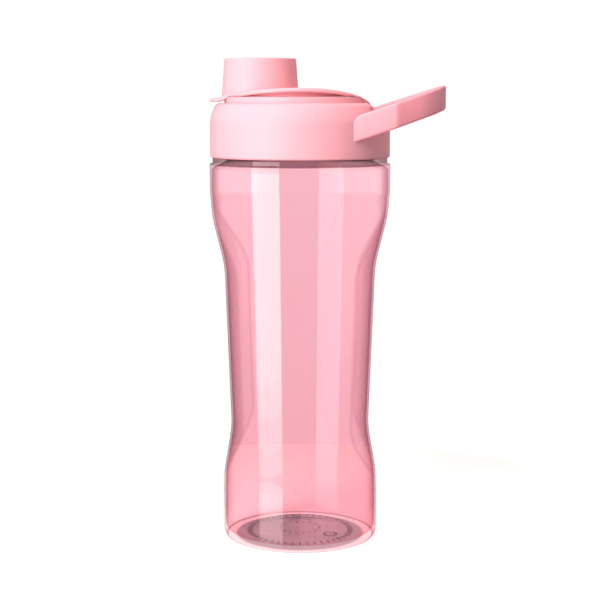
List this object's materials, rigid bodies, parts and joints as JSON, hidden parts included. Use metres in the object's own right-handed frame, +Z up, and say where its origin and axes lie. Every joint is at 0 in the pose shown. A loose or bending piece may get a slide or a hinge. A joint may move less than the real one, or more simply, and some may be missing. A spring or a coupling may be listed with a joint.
{
  "type": "protein shaker bottle",
  "caption": "Clear waisted shaker bottle with a screw lid, flip-up cap over a drinking spout, strainer under the lid and a slanted carry loop.",
  "frame": {"origin": "centre of the foot ring on the plane that the bottle stands on", "axes": "+Z up along the bottle's axis, +X towards the carry loop and the cap's hinge, -X towards the thumb tab"},
  "size_m": [0.1109, 0.0852, 0.2278],
  "materials": {
    "clear_body": "clear pink copolyester, glossy",
    "lid_plastic": "satin pink polypropylene",
    "silicone": "matt translucent silicone",
    "pin_steel": "drawn stainless"
  },
  "bodies": {
    "bottle": {"bottle_body": "clear_body"},
    "gasket": {"lid_gasket": "silicone"},
    "lid": {"lid_shell": "lid_plastic", "lid_liner": "lid_plastic", "mixing_grid": "lid_plastic", "hinge_pin": "pin_steel", "carry_loop": "lid_plastic"},
    "cap": {"flip_cap": "lid_plastic", "cap_seal": "silicone"}
  },
  "joints": [
    {"name": "lid_lift", "type": "slide", "parent": "bottle", "child": "gasket", "axis": [0, 0, 1], "range_m": [0, 0.0126]},
    {"name": "lid_turn", "type": "hinge", "parent": "gasket", "child": "lid", "pos_m": [0, 0, 0.2], "axis": [0, 0, 1], "range_deg": [0, 500]},
    {"name": "cap_flip", "type": "hinge", "parent": "lid", "child": "cap", "pos_m": [0.0315, 0, 0.204], "axis": [0, 1, 0], "range_deg": [0, 115]}
  ],
  "couplings": [
    {"joint": "lid_lift", "follows": "lid_turn", "m_per_rad": 0.0014324}
  ]
}
